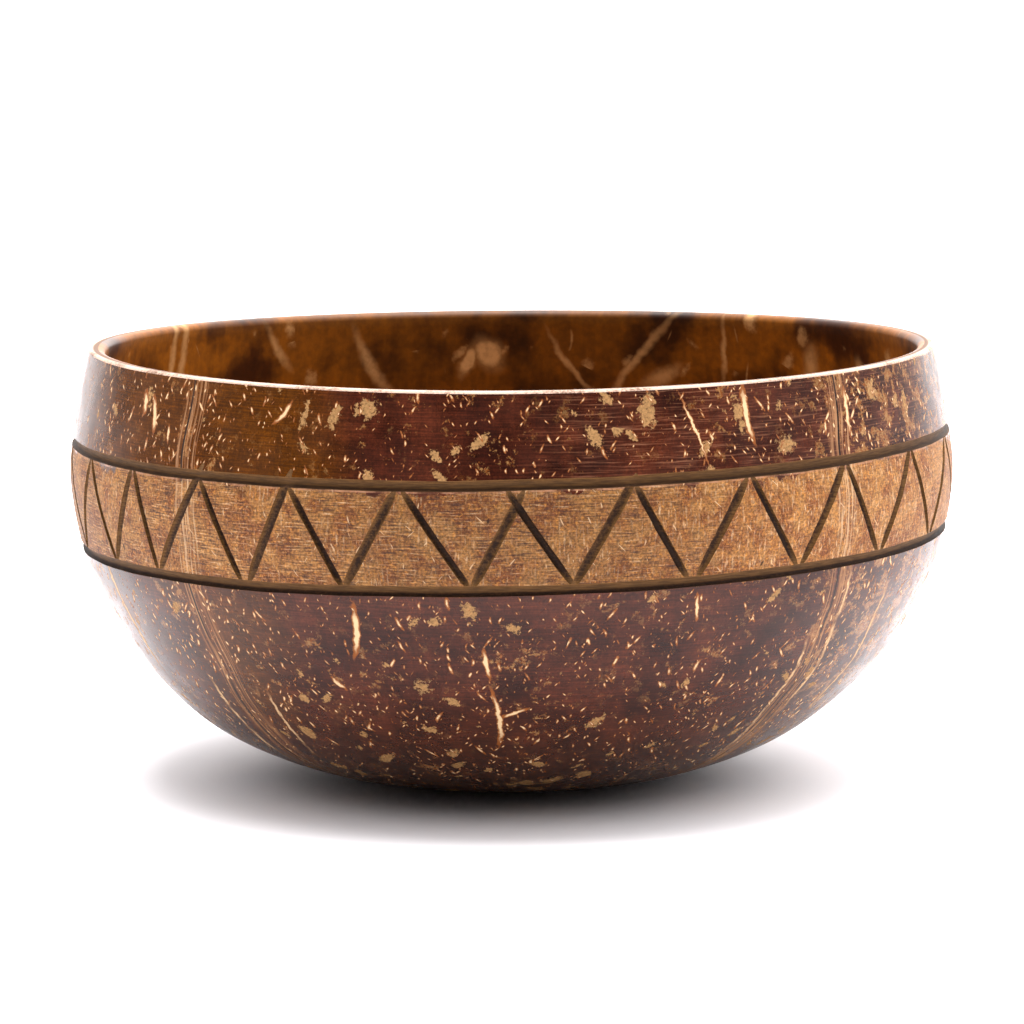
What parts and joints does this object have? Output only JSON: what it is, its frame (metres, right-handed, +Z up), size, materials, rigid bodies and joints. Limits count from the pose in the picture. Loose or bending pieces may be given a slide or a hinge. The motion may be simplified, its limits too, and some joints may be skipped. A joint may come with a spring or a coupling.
{
  "type": "coconut shell bowl",
  "caption": "Round open bowl made from a polished coconut shell, with two ring grooves and a carved zigzag band round the outside below a plain lip.",
  "frame": {"origin": "middle of the flat seat underneath, which is the bottom centre of the bounding box", "axes": "+Z up the bowl's axis, out of its mouth; -Y is the front, and the ring grooves rise a little towards +X"},
  "size_m": [0.1356, 0.1356, 0.0655],
  "materials": {
    "coconut_shell": "natural coconut shell, sanded and oiled to a satin gloss, with a scraped matt band and a bare sanded lip"
  },
  "bodies": {
    "root": {"coconut_shell": "coconut_shell"}
  },
  "joints": []
}
